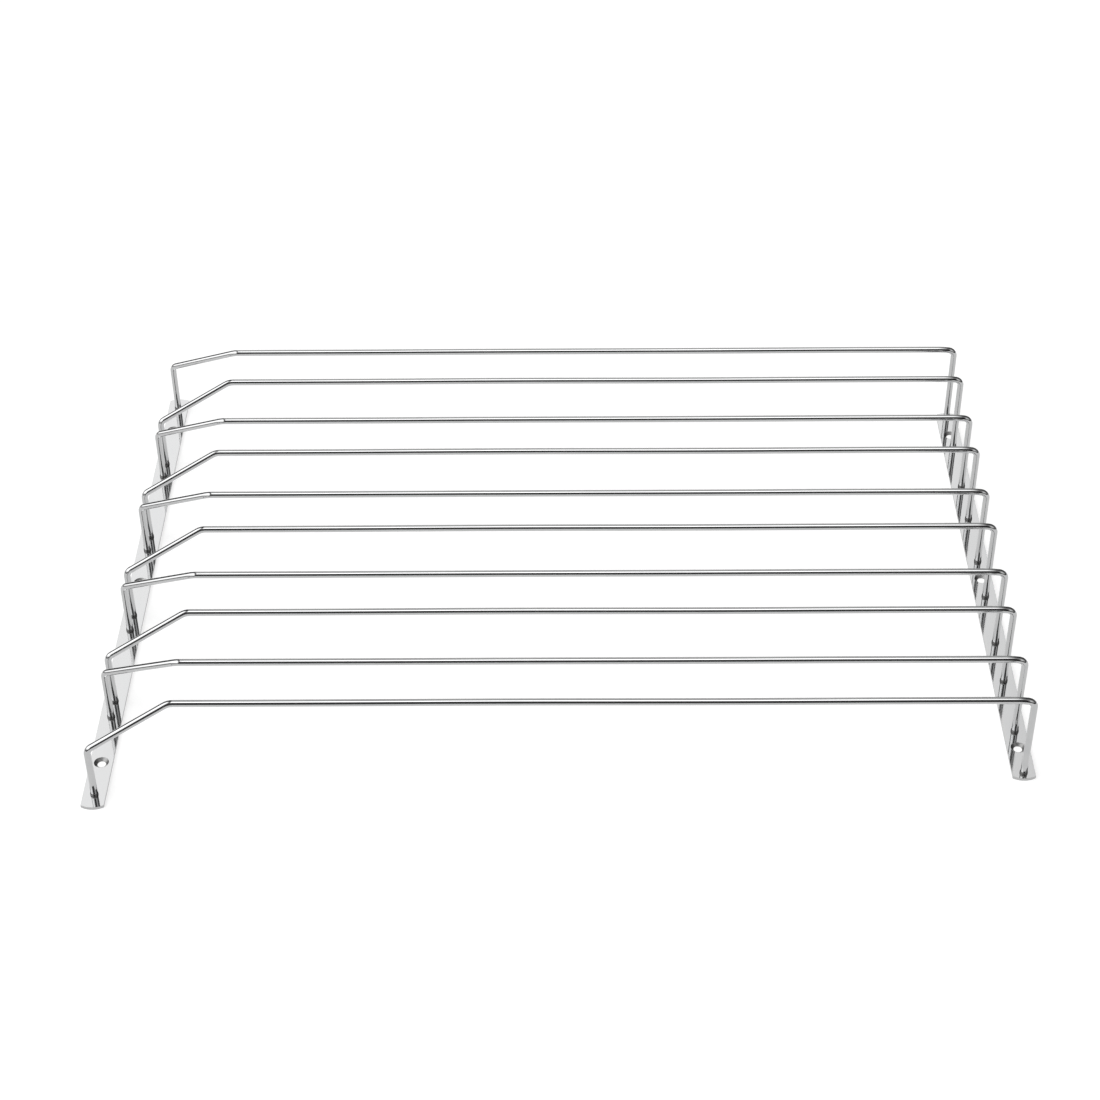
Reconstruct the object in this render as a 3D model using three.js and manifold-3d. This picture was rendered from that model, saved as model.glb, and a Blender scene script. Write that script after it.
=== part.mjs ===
// A hanging rack for stemmed glasses: pairs of bent steel wires on two flat mounting strips.
// It lies on the undersides of its strips, as it is stored and sold. In use it is turned over
// and screwed up under a shelf, and the glasses slide in from the flared entry end at -X.
// Millimetres. X runs along the wires from the entry end to the rear end, Y across the rows,
// Z up. The origin is in the plane of the strips' undersides, below the middle of the rack.
import * as THREE from 'three';
import { mergeVertices } from 'three/addons/utils/BufferGeometryUtils.js';
import Module from 'manifold-3d';

// The rows of the rack.
const ROW_COUNT = 5;
const ROW_PITCH = 88;
const WIRE_SPACING = 38.8; // between the axes of the two wires of a row
const RACK_LENGTH = 595; // between the legs at the entry end and at the rear end
const WIRE_HEIGHT = 64.75; // of a wire's straight run, from the undersides to its axis

// The bent wires. Each flares outwards and towards the strips at the entry end.
const WIRE_DIAMETER = 4.5;
const BEND_RADIUS = 5; // on the wire's axis, at the tops of the legs
const FLARE_BEND_RADIUS = 12; // where the straight run turns into the flare
const FLARE_LENGTH = 51.5;
const FLARE_SPREAD = 16.8;
const FLARE_DROP = 23.75;

// The flat mounting strips, with slightly bowed ends.
const STRIP_WIDTH = 15;
const STRIP_THICKNESS = 2;
const STRIP_END_BOW = 2.2;
const ENTRY_STRIP_OVERHANG = 12; // past the axis of the outermost leg
const REAR_STRIP_OVERHANG = 5.5;

// The countersunk screw holes: one in the middle of each strip, and one towards each end.
const SCREW_HOLE_DIAMETER = 5.5;
const COUNTERSINK_DIAMETER = 9.6;
const COUNTERSINK_DEPTH = 1.8;
const ENTRY_SCREW_SPACING = 183;
const REAR_SCREW_SPACING = 172;

// The weld beads round the feet of the wires.
const WELD_WIDTH = 0.5;
const WELD_HEIGHT = 1.2;
const WELD_CLEARANCE = 0.3; // between a bead and the leg in it

// How finely round shapes are divided.
const WIRE_SIDES = 12;
const BEND_STEP = Math.PI / 12;
const HOLE_SIDES = 24;
const WELD_SIDES = 16;
const WELD_STEPS = 3;
const STRIP_END_STEPS = 8;

const WIRE_RADIUS = WIRE_DIAMETER / 2;
const ENTRY_X = -RACK_LENGTH / 2;
const REAR_X = RACK_LENGTH / 2;

const wasm = await Module();
wasm.setup();

// The distance from the rack's middle to the middle of a row, counted from 0 at -Y.
function rowCentre(row) {
  return (row - (ROW_COUNT - 1) / 2) * ROW_PITCH;
}

// A geometry with shared corners and without collapsed triangles, ready for a boolean.
function weldedGeometry(geometry) {
  const bare = geometry.clone();
  bare.deleteAttribute('normal');
  bare.deleteAttribute('uv');
  const merged = mergeVertices(bare, 1e-4);
  const corners = merged.index.array;
  const kept = [];
  for (let i = 0; i < corners.length; i += 3) {
    const [a, b, c] = corners.subarray(i, i + 3);
    if (a !== b && b !== c && c !== a) kept.push(a, b, c);
  }
  merged.setIndex(kept);
  return merged;
}

function solidOf(geometry) {
  const welded = weldedGeometry(geometry);
  return new wasm.Manifold(new wasm.Mesh({
    numProp: 3,
    vertProperties: Float32Array.from(welded.attributes.position.array),
    triVerts: Uint32Array.from(welded.index.array),
  }));
}

function geometryOf(solid) {
  const mesh = solid.getMesh();
  const geometry = new THREE.BufferGeometry();
  geometry.setAttribute('position', new THREE.BufferAttribute(mesh.vertProperties, 3));
  geometry.setIndex(new THREE.BufferAttribute(mesh.triVerts, 1));
  geometry.computeVertexNormals();
  return geometry;
}

// A turned solid or cutter about Z, from a profile of [radius, height] points.
function turned(profile, sides) {
  const points = profile.map(([radius, height]) => new THREE.Vector2(radius, height));
  return new THREE.LatheGeometry(points, sides).rotateX(Math.PI / 2);
}

// ---- Materials ----

function polishedChrome() {
  return new THREE.MeshStandardMaterial({ color: 0xe2e4e6, roughness: 0.08, metalness: 1 });
}

function platedWire() {
  return new THREE.MeshStandardMaterial({ color: 0xd6d8da, roughness: 0.14, metalness: 1 });
}

function platedWeld() {
  return new THREE.MeshStandardMaterial({ color: 0x8a8c8e, roughness: 0.35, metalness: 1 });
}

// ---- Bent wire ----

// The wire's centre line, as the stations where its round section stands.
class BentRoute extends THREE.Curve {
  constructor(stations) {
    super();
    this.stations = stations;
  }

  stationAt(u) {
    return this.stations[Math.round(u * (this.stations.length - 1))];
  }

  getPointAt(u, target = new THREE.Vector3()) {
    return target.copy(this.stationAt(u).point);
  }

  getTangentAt(u, target = new THREE.Vector3()) {
    return target.copy(this.stationAt(u).tangent);
  }
}

// The stations of one bend: an arc that touches both straight stretches at the corner.
function bendStations(before, corner, after, radius) {
  const incoming = corner.clone().sub(before).normalize();
  const outgoing = after.clone().sub(corner).normalize();
  const angle = incoming.angleTo(outgoing);
  const axis = incoming.clone().cross(outgoing).normalize();
  const inward = axis.clone().cross(incoming);
  const start = corner.clone().addScaledVector(incoming, -radius * Math.tan(angle / 2));
  const centre = start.clone().addScaledVector(inward, radius);
  const steps = Math.ceil(angle / BEND_STEP);
  const stations = [];
  for (let step = 0; step <= steps; step += 1) {
    const turn = (angle * step) / steps;
    const spoke = inward.clone().negate().applyAxisAngle(axis, turn);
    stations.push({
      point: centre.clone().addScaledVector(spoke, radius),
      tangent: incoming.clone().applyAxisAngle(axis, turn),
    });
  }
  return stations;
}

// A route round the corners, with one bend radius for each corner between the two ends.
function routeThrough(corners, radii) {
  const last = corners.length - 1;
  const direction = (from, to) => to.clone().sub(from).normalize();
  const stations = [{ point: corners[0], tangent: direction(corners[0], corners[1]) }];
  for (let i = 1; i < last; i += 1) {
    stations.push(...bendStations(corners[i - 1], corners[i], corners[i + 1], radii[i - 1]));
  }
  stations.push({ point: corners[last], tangent: direction(corners[last - 1], corners[last]) });
  return new BentRoute(stations);
}

function wireSection() {
  const points = [];
  for (let side = 0; side < WIRE_SIDES; side += 1) {
    const turn = (2 * Math.PI * side) / WIRE_SIDES;
    points.push(new THREE.Vector2(WIRE_RADIUS * Math.cos(turn), WIRE_RADIUS * Math.sin(turn)));
  }
  return new THREE.Shape(points);
}

// Where a wire stands across its row, at the rear and at the flared entry. side is +1 or -1.
function rearOffset(side) {
  return (side * WIRE_SPACING) / 2;
}

function entryOffset(side) {
  return side * (WIRE_SPACING / 2 + FLARE_SPREAD);
}

// One wire: rear leg, straight run, flare and entry leg, with its feet on the strips.
function wireGeometry(side) {
  const rearY = rearOffset(side);
  const entryY = entryOffset(side);
  const route = routeThrough([
    new THREE.Vector3(REAR_X, rearY, STRIP_THICKNESS),
    new THREE.Vector3(REAR_X, rearY, WIRE_HEIGHT),
    new THREE.Vector3(ENTRY_X + FLARE_LENGTH, rearY, WIRE_HEIGHT),
    new THREE.Vector3(ENTRY_X, entryY, WIRE_HEIGHT - FLARE_DROP),
    new THREE.Vector3(ENTRY_X, entryY, STRIP_THICKNESS),
  ], [BEND_RADIUS, FLARE_BEND_RADIUS, BEND_RADIUS]);
  const steps = route.stations.length - 1;
  return new THREE.ExtrudeGeometry(wireSection(), { steps, extrudePath: route });
}

// ---- Weld bead ----

// A ring of weld metal that rounds off the corner between a leg and its strip.
function weldGeometry() {
  const inner = WIRE_RADIUS + WELD_CLEARANCE;
  const profile = [[inner, 0]];
  for (let step = 0; step <= WELD_STEPS; step += 1) {
    const turn = (Math.PI / 2) * (step / WELD_STEPS);
    profile.push([inner + WELD_WIDTH * Math.cos(turn), WELD_HEIGHT * Math.sin(turn)]);
  }
  profile.push([inner, 0]);
  return turned(profile, WELD_SIDES);
}

// ---- Mounting strips ----

function stripOutline(length) {
  const halfWidth = STRIP_WIDTH / 2;
  const radius = (halfWidth ** 2 + STRIP_END_BOW ** 2) / (2 * STRIP_END_BOW);
  const half = Math.asin(halfWidth / radius);
  const centre = length / 2 - radius;
  const outline = new THREE.Shape();
  outline.absarc(0, centre, radius, Math.PI / 2 - half, Math.PI / 2 + half);
  outline.absarc(0, -centre, radius, (3 * Math.PI) / 2 - half, (3 * Math.PI) / 2 + half);
  return outline;
}

// The cutter of one screw hole, standing on the strip's underside.
function screwHoleCutter() {
  const seat = STRIP_THICKNESS - COUNTERSINK_DEPTH;
  return solidOf(turned([
    [0, -1],
    [SCREW_HOLE_DIAMETER / 2, -1],
    [SCREW_HOLE_DIAMETER / 2, seat],
    [COUNTERSINK_DIAMETER / 2, STRIP_THICKNESS],
    [COUNTERSINK_DIAMETER / 2, STRIP_THICKNESS + 1],
    [0, STRIP_THICKNESS + 1],
  ], HOLE_SIDES));
}

function stripGeometry(outerLegY, overhang, screwSpacing) {
  const bar = new THREE.ExtrudeGeometry(stripOutline(2 * (outerLegY + overhang)), {
    depth: STRIP_THICKNESS,
    bevelEnabled: false,
    curveSegments: STRIP_END_STEPS,
  });
  let solid = solidOf(bar);
  for (const place of [-1, 0, 1]) {
    solid = solid.subtract(screwHoleCutter().translate([0, place * screwSpacing, 0]));
  }
  return geometryOf(solid);
}

// ---- Assembly ----

const group = new THREE.Group();

function addPiece(parent, name, geometry, material, x, y, z) {
  const piece = new THREE.Mesh(geometry, material);
  piece.name = name;
  piece.position.set(x, y, z);
  parent.add(piece);
}

const outerRow = rowCentre(ROW_COUNT - 1);
const entryStrip = stripGeometry(
  outerRow + entryOffset(1),
  ENTRY_STRIP_OVERHANG,
  ENTRY_SCREW_SPACING,
);
const rearStrip = stripGeometry(
  outerRow + rearOffset(1),
  REAR_STRIP_OVERHANG,
  REAR_SCREW_SPACING,
);
addPiece(group, 'entry_mounting_strip', entryStrip, polishedChrome(), ENTRY_X, 0, 0);
addPiece(group, 'rear_mounting_strip', rearStrip, polishedChrome(), REAR_X, 0, 0);

for (let row = 0; row < ROW_COUNT; row += 1) {
  const rowGroup = new THREE.Group();
  rowGroup.position.y = rowCentre(row);
  group.add(rowGroup);
  for (const [hand, side] of [['left', 1], ['right', -1]]) {
    const name = `row_${row + 1}_${hand}`;
    addPiece(rowGroup, `${name}_wire`, wireGeometry(side), platedWire(), 0, 0, 0);
    for (const [end, x, y] of [
      ['entry', ENTRY_X, entryOffset(side)],
      ['rear', REAR_X, rearOffset(side)],
    ]) {
      addPiece(rowGroup, `${name}_${end}_weld`, weldGeometry(), platedWeld(), x, y, STRIP_THICKNESS);
    }
  }
}

export default group;
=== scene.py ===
import math

import bmesh
import bpy
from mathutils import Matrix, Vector


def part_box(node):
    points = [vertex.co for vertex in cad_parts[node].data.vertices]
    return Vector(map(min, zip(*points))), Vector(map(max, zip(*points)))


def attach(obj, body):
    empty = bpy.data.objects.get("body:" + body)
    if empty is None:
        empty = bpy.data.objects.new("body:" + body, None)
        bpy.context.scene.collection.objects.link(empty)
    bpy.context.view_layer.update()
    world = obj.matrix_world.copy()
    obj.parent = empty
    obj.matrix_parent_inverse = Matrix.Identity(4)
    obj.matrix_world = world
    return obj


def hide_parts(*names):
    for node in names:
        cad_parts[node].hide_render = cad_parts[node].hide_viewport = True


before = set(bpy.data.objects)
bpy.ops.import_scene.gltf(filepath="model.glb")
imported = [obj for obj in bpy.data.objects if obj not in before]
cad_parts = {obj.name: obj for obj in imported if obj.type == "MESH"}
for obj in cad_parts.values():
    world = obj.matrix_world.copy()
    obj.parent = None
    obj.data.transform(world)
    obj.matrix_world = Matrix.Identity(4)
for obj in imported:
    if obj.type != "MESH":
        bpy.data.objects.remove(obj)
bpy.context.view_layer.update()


# ---- Mounting strips ----
# Two flat steel bars with bowed ends and countersunk screw holes, one under each end of the wires.
# They are slit, punched and countersunk, polished along their length, and then chrome plated.

strip_end_radius = 0.01388
strip_edge_round = 0.00022
screw_hole_radius = 0.00275
countersink_radius = 0.0048
countersink_depth = 0.0018
entry_screw_spacing = 0.183
rear_screw_spacing = 0.172
screw_side_count = 72
screw_cutter_height = 0.01
countersink_overshoot = 0.0004
strip_end_side_count = 256
strip_edge_angle = math.radians(28)
cut_roughness = 0.3
# Share of the roughness and the painted shade that the upright edges get.
edge_dullness_and_shade = 0.45


def deselect_all():
    bpy.ops.object.select_all(action="DESELECT")


def choose(piece):
    """Makes one piece the only selected and active object."""
    deselect_all()
    piece.select_set(True)
    bpy.context.view_layer.objects.active = piece


def select_where(test):
    """In edit mode, selects the vertices whose place passes the test, and no others."""
    mesh = bmesh.from_edit_mesh(bpy.context.active_object.data)
    bpy.ops.mesh.select_all(action="DESELECT")
    for vertex in mesh.verts:
        vertex.select_set(test(vertex.co))
    mesh.select_flush_mode()
    bmesh.update_edit_mesh(bpy.context.active_object.data)


def settle_place():
    bpy.ops.object.transform_apply(location=True, rotation=True, scale=True)


def fitted(piece, name, slot, *nodes):
    """Names a finished piece, and says where it belongs in the frame."""
    piece.name = name
    piece.data.name = name
    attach(piece, "root")
    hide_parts(*nodes)


def new_metal(name):
    """A node material of plated metal, as (material, its nodes, its links, its shader)."""
    material = bpy.data.materials.new(name)
    material.use_nodes = True
    nodes, links = material.node_tree.nodes, material.node_tree.links
    shader = nodes["Principled BSDF"]
    shader.inputs["Metallic"].default_value = 1.0
    return material, nodes, links, shader


def stretched_noise(nodes, links, stretch, scale, detail):
    """Noise on the piece's own coordinates, drawn out along the axes by the stretch."""
    place = nodes.new("ShaderNodeTexCoord")
    mapping = nodes.new("ShaderNodeMapping")
    mapping.inputs["Scale"].default_value = stretch
    noise = nodes.new("ShaderNodeTexNoise")
    noise.inputs["Scale"].default_value = scale
    noise.inputs["Detail"].default_value = detail
    links.new(place.outputs["Object"], mapping.inputs["Vector"])
    links.new(mapping.outputs["Vector"], noise.inputs["Vector"])
    return noise.outputs["Fac"]


def spread_over(nodes, links, value, low, high, to_low, to_high):
    """Maps the values from low to high onto the values from to_low to to_high, clamped."""
    spread = nodes.new("ShaderNodeMapRange")
    spread.inputs["From Min"].default_value = low
    spread.inputs["From Max"].default_value = high
    spread.inputs["To Min"].default_value = to_low
    spread.inputs["To Max"].default_value = to_high
    links.new(value, spread.inputs["Value"])
    return spread.outputs["Result"]


def blended(nodes, links, value, dark, light):
    """A colour between dark and light."""
    mix = nodes.new("ShaderNodeMix")
    mix.data_type = "RGBA"
    mix.inputs["A"].default_value = (*dark, 1.0)
    mix.inputs["B"].default_value = (*light, 1.0)
    links.new(value, mix.inputs["Factor"])
    return mix.outputs["Result"]


def bumped(nodes, links, height, distance, under=None):
    """A bump of that many metres, over another bump if there is one."""
    bump = nodes.new("ShaderNodeBump")
    bump.inputs["Strength"].default_value = 1.0
    bump.inputs["Distance"].default_value = distance
    links.new(height, bump.inputs["Height"])
    if under is not None:
        links.new(under, bump.inputs["Normal"])
    return bump.outputs["Normal"]


def calculated(nodes, links, operation, *values):
    """One sum on up to three values, which are numbers or sockets."""
    node = nodes.new("ShaderNodeMath")
    node.operation = operation
    for socket, value in zip(node.inputs, values):
        if isinstance(value, (int, float)):
            socket.default_value = value
        else:
            links.new(value, socket)
    return node.outputs["Value"]


def cut_faces(nodes, links):
    """1 on the slopes of the countersinks, less on the upright edges, and 0 on the flat faces:
    where the strip is rougher and painted darker as shade.
    """
    place = nodes.new("ShaderNodeTexCoord")
    parts = nodes.new("ShaderNodeSeparateXYZ")
    links.new(place.outputs["Normal"], parts.inputs["Vector"])
    flatness = calculated(nodes, links, "ABSOLUTE", parts.outputs["Z"])
    sloping = spread_over(nodes, links, flatness, 0.95, 0.85, 0.0, 1.0)
    edges = spread_over(nodes, links, flatness, 0.3, 0.6, edge_dullness_and_shade, 1.0)
    return calculated(nodes, links, "MULTIPLY", sloping, edges)


def strip_metal():
    """Polished chrome: a mirror with fine lines along the bar, faint smears and a soft ripple.
    The cut faces are plated but not polished, so they are rougher, and their colour is painted
    darker as shade in the countersinks and along the edges."""
    material, nodes, links, shader = new_metal("polished_strip_chrome")
    smears = stretched_noise(nodes, links, (1.0, 0.35, 1.0), 90.0, 4.0)
    lines = stretched_noise(nodes, links, (1.0, 0.012, 1.0), 2600.0, 3.0)
    ripple = stretched_noise(nodes, links, (1.0, 0.4, 1.0), 38.0, 1.0)
    cut = cut_faces(nodes, links)
    polished = blended(nodes, links, smears, (0.56, 0.565, 0.57), (0.60, 0.60, 0.60))
    # Painted shade: the cut faces' colour is made dark in the countersinks and along the edges, on
    # faces that are also rougher.
    dull_and_shaded = blended(nodes, links, smears, (0.17, 0.168, 0.165), (0.30, 0.30, 0.30))
    colour = nodes.new("ShaderNodeMix")
    colour.data_type = "RGBA"
    links.new(cut, colour.inputs["Factor"])
    links.new(polished, colour.inputs["A"])
    links.new(dull_and_shaded, colour.inputs["B"])
    links.new(colour.outputs["Result"], shader.inputs["Base Color"])
    smeared = spread_over(nodes, links, smears, 0.35, 0.7, 0.035, 0.10)
    roughness = calculated(nodes, links, "MULTIPLY_ADD", cut, cut_roughness, smeared)
    links.new(roughness, shader.inputs["Roughness"])
    rippled = bumped(nodes, links, ripple, 0.00006)
    links.new(bumped(nodes, links, lines, 0.0000012, rippled), shader.inputs["Normal"])
    return material


def cut_with_cutter(piece, cutter):
    cut = piece.modifiers.new("cut", "BOOLEAN")
    cut.operation = "DIFFERENCE"
    cut.solver = "EXACT"
    cut.object = cutter
    choose(piece)
    bpy.ops.object.modifier_apply(modifier=cut.name)
    bpy.data.objects.remove(cutter, do_unlink=True)


def make_strip(node, name, screw_spacing, metal):
    """A disc of the end's radius, sawn to the bar's width and drawn out to the bar's length."""
    low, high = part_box(node)
    centre = (low + high) / 2
    half_width = (high.x - low.x) / 2
    half_reach = (high.y - low.y) / 2 - strip_end_radius
    deselect_all()
    bpy.ops.mesh.primitive_cylinder_add(
        vertices=strip_end_side_count,
        radius=strip_end_radius,
        depth=high.z - low.z,
        location=centre,
    )
    settle_place()
    strip = bpy.context.active_object
    bpy.ops.object.mode_set(mode="EDIT")
    for side in (-1, 1):
        bpy.ops.mesh.select_all(action="SELECT")
        bpy.ops.mesh.bisect(
            plane_co=(centre.x + side * half_width, 0, 0),
            plane_no=(side, 0, 0),
            use_fill=True,
            clear_outer=True,
        )
    for side in (-1, 1):
        select_where(lambda place: (place.y - centre.y) * side > 0.001)
        bpy.ops.transform.translate(value=(0, side * half_reach, 0))
    bpy.ops.mesh.select_all(action="SELECT")
    bpy.ops.mesh.normals_make_consistent(inside=False)
    bpy.ops.object.mode_set(mode="OBJECT")
    for row in (-1, 0, 1):
        hole = (centre.x, row * screw_spacing, 0)
        bpy.ops.mesh.primitive_cylinder_add(
            vertices=screw_side_count,
            radius=screw_hole_radius,
            depth=screw_cutter_height,
            location=hole,
        )
        cut_with_cutter(strip, bpy.context.active_object)
        slope = (countersink_radius - screw_hole_radius) / countersink_depth
        seat = high.z - countersink_depth
        top = high.z + countersink_overshoot
        bpy.ops.mesh.primitive_cone_add(
            vertices=screw_side_count,
            radius1=screw_hole_radius,
            radius2=screw_hole_radius + slope * (top - seat),
            depth=top - seat,
            location=(hole[0], hole[1], (top + seat) / 2),
        )
        cut_with_cutter(strip, bpy.context.active_object)
    choose(strip)
    rounding = strip.modifiers.new("rounding", "BEVEL")
    rounding.width = strip_edge_round
    rounding.segments = 3
    rounding.limit_method = "ANGLE"
    rounding.angle_limit = strip_edge_angle
    rounding.harden_normals = True
    bpy.ops.object.shade_smooth()
    bpy.ops.object.modifier_apply(modifier=rounding.name)
    strip.data.materials.append(metal)
    fitted(strip, name, "polished_strip", node)


polished_strip = strip_metal()
make_strip("entry_mounting_strip", "entry_strip", entry_screw_spacing, polished_strip)
make_strip("rear_mounting_strip", "rear_strip", rear_screw_spacing, polished_strip)


# ---- Bent wires ----
# Ten round steel wires, two to a row, each bent from one length. The rear leg rises to the straight
# run, which flares outwards and down at the entry and ends in the entry leg. Bright chrome plated.

wire_radius = 0.00225
wire_side_count = 40
bend_radius = 0.005
flare_bend_radius = 0.012
easing_radius = 0.06
easing_angle = math.radians(8)
flare_length = 0.0515
flare_spread = 0.0168
flare_drop = 0.02375
straight_step_count = 48
straight_sway = 0.00012
sideways_wave = 7.0
upright_wave = 11.0
wire_shading_angle = math.radians(40)
row_count = 5


def wire_metal():
    """Bright chrome with the drawing lines of the wire showing faintly, and hazier patches."""
    material, nodes, links, shader = new_metal("bright_wire_chrome")
    haze = stretched_noise(nodes, links, (0.25, 1.0, 1.0), 120.0, 4.0)
    lines = stretched_noise(nodes, links, (0.01, 1.0, 1.0), 3200.0, 2.0)
    swell = stretched_noise(nodes, links, (0.3, 1.0, 1.0), 160.0, 1.0)
    links.new(
        blended(nodes, links, haze, (0.44, 0.445, 0.45), (0.50, 0.50, 0.50)),
        shader.inputs["Base Color"],
    )
    links.new(spread_over(nodes, links, haze, 0.35, 0.7, 0.05, 0.13), shader.inputs["Roughness"])
    swollen = bumped(nodes, links, swell, 0.00002)
    links.new(bumped(nodes, links, lines, 0.0000015, swollen), shader.inputs["Normal"])
    return material


def draw_on(step):
    """Extrudes the wire's end face by one step."""
    bpy.ops.mesh.extrude_region_move(TRANSFORM_OT_translate={"value": step})


def bend_on(incoming, outgoing, start, radius):
    """Spins the wire's end face from one direction to the next, and gives the bend's far end."""
    angle = incoming.angle(outgoing)
    axis = incoming.cross(outgoing).normalized()
    centre = start + axis.cross(incoming) * radius
    steps = max(4, round(math.degrees(angle) / 7.5))
    bpy.ops.mesh.spin(steps=steps, angle=-angle, center=centre, axis=axis)
    return centre - axis.cross(outgoing) * radius


def make_left_wire():
    """Drawn from the rear foot to the entry foot. The rear bend eases into the straight run."""
    low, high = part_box("row_1_left_wire")
    run_y = low.y + wire_radius
    run_z = high.z - wire_radius
    rear = Vector((high.x - wire_radius, run_y, low.z))
    corner = Vector((low.x + wire_radius + flare_length, run_y, run_z))
    entry = Vector((low.x + wire_radius, run_y + flare_spread, run_z - flare_drop))
    up, along, down = Vector((0, 0, 1)), Vector((-1, 0, 0)), Vector((0, 0, -1))
    flare = (entry - corner).normalized()
    eased = Vector((-math.cos(easing_angle), 0, math.sin(easing_angle)))
    easing_rise = easing_radius * (1 - math.cos(easing_angle))
    leg_top = run_z - bend_radius * math.cos(easing_angle) - easing_rise
    deselect_all()
    bpy.ops.mesh.primitive_circle_add(
        vertices=wire_side_count, radius=wire_radius, fill_type="NGON", location=rear
    )
    settle_place()
    wire = bpy.context.active_object
    bpy.ops.object.mode_set(mode="EDIT")
    bpy.ops.mesh.select_all(action="SELECT")
    start = Vector((rear.x, run_y, leg_top))
    draw_on(start - rear)
    start = bend_on(up, eased, start, bend_radius)
    start = bend_on(eased, along, start, easing_radius)
    stop = corner - along * flare_bend_radius * math.tan(along.angle(flare) / 2)
    here = start
    for step in range(1, straight_step_count + 1):
        share = step / straight_step_count
        rise = math.sin(math.pi * share) * straight_sway
        sideways = rise * math.sin(sideways_wave * share)
        upright = rise * math.sin(upright_wave * share + 1.0)
        there = start.lerp(stop, share) + Vector((0, sideways, upright))
        draw_on(there - here)
        here = there
    start = bend_on(along, flare, stop, flare_bend_radius)
    stop = entry - flare * bend_radius * math.tan(flare.angle(down) / 2)
    draw_on(stop - start)
    start = bend_on(flare, down, stop, bend_radius)
    draw_on(Vector((entry.x, entry.y, low.z)) - start)
    bpy.ops.mesh.select_all(action="SELECT")
    bpy.ops.mesh.remove_doubles(threshold=0.000005)
    bpy.ops.mesh.normals_make_consistent(inside=False)
    bpy.ops.object.mode_set(mode="OBJECT")
    bpy.ops.object.shade_smooth_by_angle(angle=wire_shading_angle)
    return wire


def copy_of(piece, move, flip_about=None):
    """A copy with its own mesh, moved, and mirrored across a plane of that Y if there is one."""
    choose(piece)
    bpy.ops.object.duplicate(linked=False)
    copy = bpy.context.active_object
    if flip_about is not None:
        bpy.ops.object.mode_set(mode="EDIT")
        bpy.ops.mesh.select_all(action="SELECT")
        bpy.ops.transform.resize(
            value=(1, -1, 1), center_override=(0, flip_about, 0), orient_type="GLOBAL"
        )
        bpy.ops.mesh.normals_make_consistent(inside=False)
        bpy.ops.object.mode_set(mode="OBJECT")
    copy.location = Vector(move)
    settle_place()
    return copy


def row_middle(row):
    left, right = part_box(f"row_{row}_left_wire"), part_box(f"row_{row}_right_wire")
    return (left[1].y + right[0].y) / 2


bright_wire = wire_metal()
first_wire = make_left_wire()
first_wire.data.materials.append(bright_wire)
for row in range(1, row_count + 1):
    shift = (0, row_middle(row) - row_middle(1), 0)
    left = copy_of(first_wire, shift)
    fitted(left, f"row_{row}_left_rod", "chrome_wire", f"row_{row}_left_wire")
    right = copy_of(first_wire, shift, flip_about=row_middle(1))
    fitted(right, f"row_{row}_right_rod", "chrome_wire", f"row_{row}_right_wire")
bpy.data.objects.remove(first_wire, do_unlink=True)


# ---- Weld beads ----
# A small uneven collar of weld metal closes the corner between each leg and its strip.
# It is plated over with the rest and stays rougher than the wire; its darker colour is partly weld
# stain and partly painted shade and dark reflection at the leg's foot.

bead_profile = [(0.00268, 0.0), (0.00262, 0.0006), (0.00252, 0.0013), (0.0024, 0.0019)]
bead_bore = 0.0022
bead_side_count = 28
bead_unevenness = 0.00006
bead_turn = math.radians(137.5)


def bead_metal():
    """Dull plated weld metal, pitted and stained, its colour darkened further as painted shade at
    the leg's foot.
    """
    material, nodes, links, shader = new_metal("plated_weld_metal")
    stain_and_shade = stretched_noise(nodes, links, (1.0, 1.0, 1.0), 700.0, 4.0)
    pits = stretched_noise(nodes, links, (1.0, 1.0, 1.0), 2400.0, 3.0)
    # Colour from near black to dark grey: weld stain, and painted shade where the leg meets the
    # strip.
    links.new(
        blended(nodes, links, stain_and_shade, (0.05, 0.048, 0.046), (0.24, 0.24, 0.24)),
        shader.inputs["Base Color"],
    )
    links.new(spread_over(nodes, links, stain_and_shade, 0.3, 0.7, 0.45, 0.24), shader.inputs["Roughness"])
    links.new(bumped(nodes, links, pits, 0.00008), shader.inputs["Normal"])
    return material


def make_bead():
    """The collar at the origin: rings drawn inwards and up, then the bore, then the flat foot."""
    deselect_all()
    outer = bead_profile[0][0]
    bpy.ops.mesh.primitive_circle_add(vertices=bead_side_count, radius=outer)
    bead = bpy.context.active_object
    bpy.ops.object.mode_set(mode="EDIT")
    bpy.ops.mesh.select_all(action="SELECT")
    radius, height = bead_profile[0]
    for next_radius, next_height in [*bead_profile[1:], (bead_bore, 0.0018), (bead_bore, 0.0)]:
        bpy.ops.mesh.extrude_edges_move(
            TRANSFORM_OT_translate={"value": (0, 0, next_height - height)}
        )
        narrowing = next_radius / radius
        bpy.ops.transform.resize(value=(narrowing, narrowing, 1), center_override=(0, 0, 0))
        radius, height = next_radius, next_height
    select_where(lambda place: place.z < 0.00001)
    bpy.ops.mesh.bridge_edge_loops()
    select_where(lambda place: place.z > 0.00001 and place.xy.length > bead_bore + 0.0001)
    bpy.ops.transform.vertex_random(offset=bead_unevenness, seed=4)
    bpy.ops.mesh.select_all(action="SELECT")
    bpy.ops.mesh.normals_make_consistent(inside=False)
    bpy.ops.object.mode_set(mode="OBJECT")
    rounding = bead.modifiers.new("rounding", "SUBSURF")
    rounding.levels = 2
    rounding.render_levels = 2
    bpy.ops.object.modifier_apply(modifier=rounding.name)
    bpy.ops.object.shade_smooth()
    return bead


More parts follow.
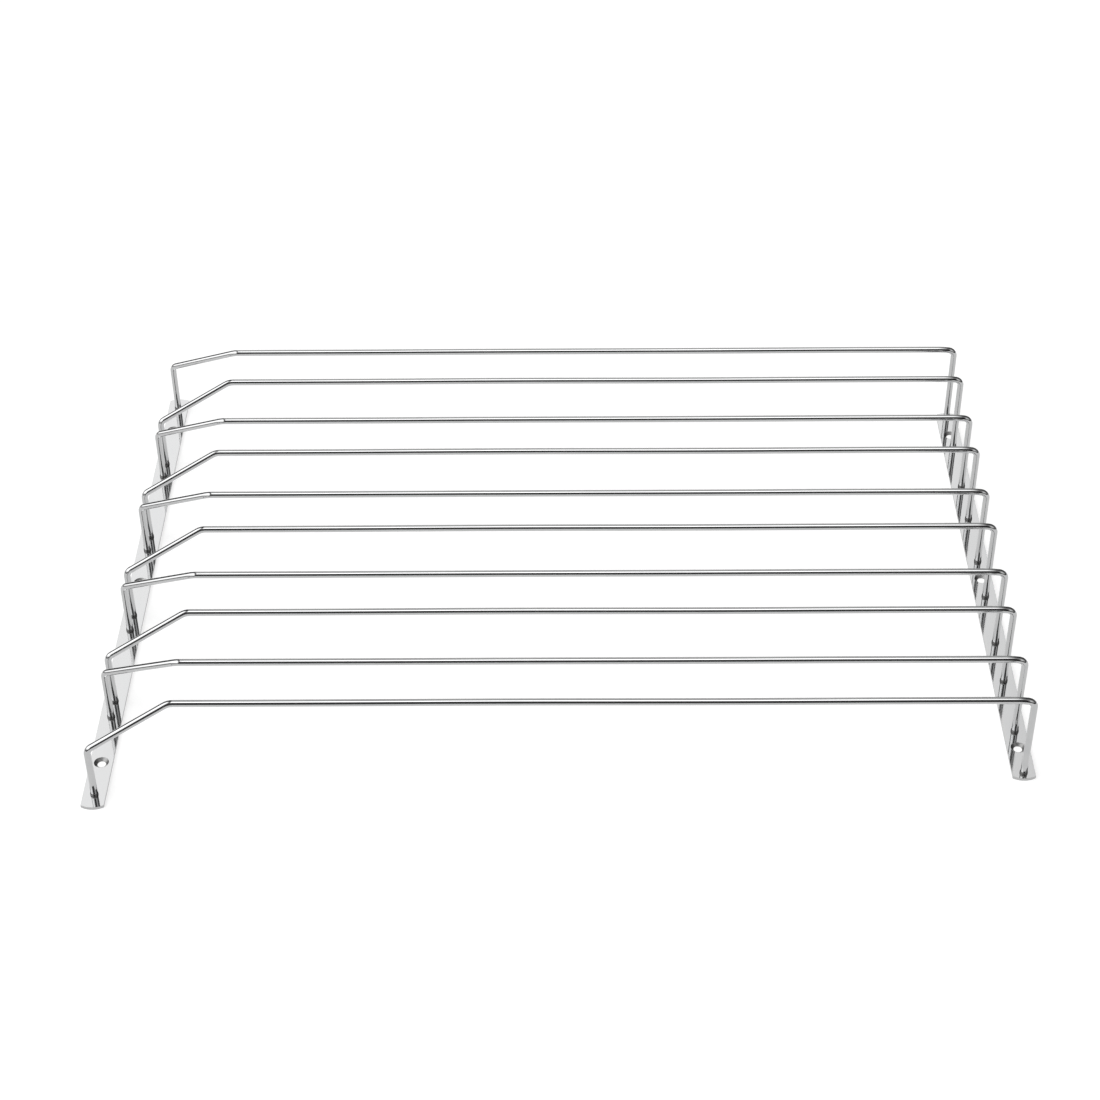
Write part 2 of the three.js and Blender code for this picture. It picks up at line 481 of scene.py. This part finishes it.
first_bead = make_bead()
first_bead.data.materials.append(bead_metal())
bead_count = 0
for row in range(1, row_count + 1):
    for hand in ("left", "right"):
        for end in ("entry", "rear"):
            node = f"row_{row}_{hand}_{end}_weld"
            low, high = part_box(node)
            foot = (low + high) / 2
            choose(first_bead)
            bpy.ops.object.duplicate(linked=False)
            bead = bpy.context.active_object
            bead.rotation_euler.z = bead_turn * bead_count
            bead.location = (foot.x, foot.y, low.z)
            settle_place()
            fitted(bead, f"row_{row}_{hand}_{end}_bead", "weld_bead", node)
            bead_count += 1
bpy.data.objects.remove(first_bead, do_unlink=True)


# ---- Studio ----
# A white table lit softly from below, under a light tent. The tent is bright overhead, softer
# behind, and dark on the camera's side, which draws the dark line along each wire.

floor_front = -0.48
floor_back = 4.0
floor_half_width = 2.6
floor_glow = 0.64
floor_drop = 0.0002
white = (1.0, 1.0, 1.0, 1.0)

deselect_all()
floor_middle = (floor_front + floor_back) / 2
bpy.ops.mesh.primitive_plane_add(size=1.0, location=(0, floor_middle, -floor_drop))
floor = bpy.context.active_object
floor.scale = (2 * floor_half_width, floor_back - floor_front, 1.0)
settle_place()
floor.name = "floor"
floor_paint = bpy.data.materials.new("floor_white")
floor_paint.use_nodes = True
floor_shader = floor_paint.node_tree.nodes["Principled BSDF"]
floor_shader.inputs["Base Color"].default_value = (0.47, 0.47, 0.47, 1.0)
floor_shader.inputs["Roughness"].default_value = 0.9
floor_shader.inputs["Specular IOR Level"].default_value = 0.1
floor_shader.inputs["Emission Color"].default_value = white
floor_shader.inputs["Emission Strength"].default_value = floor_glow
floor.data.materials.append(floor_paint)

sky_stops = [
    (-180, 0.5), (-90, 0.5), (-24, 0.14), (0, 0.08), (40, 0.08), (60, 0.16), (67, 3.0),
    (92, 3.0), (100, 0.7), (108, 0.42), (129, 0.4), (133, 1.32), (147, 1.36), (151, 0.4),
    (163, 0.25), (180, 0.25),
]
right_edge = (0.137, 0.334)
right_share = 0.12
left_gap = (-0.215, -0.25)
gap_share = 0.12
left_edge = (-0.30, -0.38)
left_level = 2.2
left_back = (0.2, 0.45)
far_right_edge = (0.35, 0.55)
far_right_level = 1.1
right_front = (-0.2, -0.45)
backdrop_white = 1.06


def light_tent():
    """The light by direction: an angle from the front horizon, over the top, to the back one,
    cut off to the right of the rack and filled in from both sides."""
    world = bpy.data.worlds.new("light_tent")
    world.use_nodes = True
    nodes, links = world.node_tree.nodes, world.node_tree.links
    place = nodes.new("ShaderNodeTexCoord")
    parts = nodes.new("ShaderNodeSeparateXYZ")
    links.new(place.outputs["Generated"], parts.inputs["Vector"])
    across, along, up = (parts.outputs[axis] for axis in "XYZ")
    front = calculated(nodes, links, "MULTIPLY", along, -1.0)
    angle = calculated(nodes, links, "ARCTAN2", up, front)
    curve = nodes.new("ShaderNodeFloatCurve")
    brightest = max(level for _, level in sky_stops)
    points = curve.mapping.curves[0].points
    for index, (degrees, level) in enumerate(sky_stops):
        spot = ((degrees + 180) / 360, level / brightest)
        if index in (0, len(sky_stops) - 1):
            points[0 if index == 0 else -1].location = spot
        else:
            points.new(*spot)
    for point in points:
        point.handle_type = "VECTOR"
    curve.mapping.update()
    turn = spread_over(nodes, links, angle, -math.pi, math.pi, 0.0, 1.0)
    links.new(turn, curve.inputs["Value"])
    level = calculated(nodes, links, "MULTIPLY", curve.outputs["Value"], brightest)
    right = spread_over(nodes, links, across, *right_edge, 1.0, right_share)
    gap = spread_over(nodes, links, across, *left_gap, 1.0, gap_share)
    middle = calculated(nodes, links, "MULTIPLY", right, gap)
    sky = calculated(nodes, links, "MULTIPLY", level, middle)
    left_panel = spread_over(nodes, links, across, *left_edge, 0.0, left_level)
    before_back = spread_over(nodes, links, along, *left_back, 1.0, 0.0)
    left = calculated(nodes, links, "MULTIPLY", left_panel, before_back)
    right_panel = spread_over(nodes, links, across, *far_right_edge, 0.0, far_right_level)
    at_front = spread_over(nodes, links, along, *right_front, 0.0, 1.0)
    sides = calculated(nodes, links, "MULTIPLY_ADD", right_panel, at_front, left)
    high = spread_over(nodes, links, up, 0.05, 0.4, 0.0, 1.0)
    strength = calculated(nodes, links, "MULTIPLY_ADD", sides, high, sky)
    background = nodes["Background"]
    background.inputs["Color"].default_value = white
    links.new(strength, background.inputs["Strength"])
    backdrop = nodes.new("ShaderNodeBackground")
    backdrop.inputs["Color"].default_value = white
    backdrop.inputs["Strength"].default_value = backdrop_white
    ray = nodes.new("ShaderNodeLightPath")
    both = nodes.new("ShaderNodeMixShader")
    links.new(ray.outputs["Is Camera Ray"], both.inputs["Fac"])
    links.new(background.outputs["Background"], both.inputs[1])
    links.new(backdrop.outputs["Background"], both.inputs[2])
    links.new(both.outputs["Shader"], nodes["World Output"].inputs["Surface"])
    return world


bpy.context.scene.world = light_tent()

camera_data = bpy.data.cameras.new("camera")
camera_data.lens = 77.29
camera_data.sensor_width = 36.0
camera = bpy.data.objects.new("camera", camera_data)
bpy.context.scene.collection.objects.link(camera)
camera.location = (0.00614, -1.2876, 1.0672)
camera.rotation_euler = [math.radians(turn) for turn in (51.1385, 0.4749, 0.2074)]
bpy.context.scene.camera = camera
bpy.context.scene.view_settings.view_transform = "Standard"
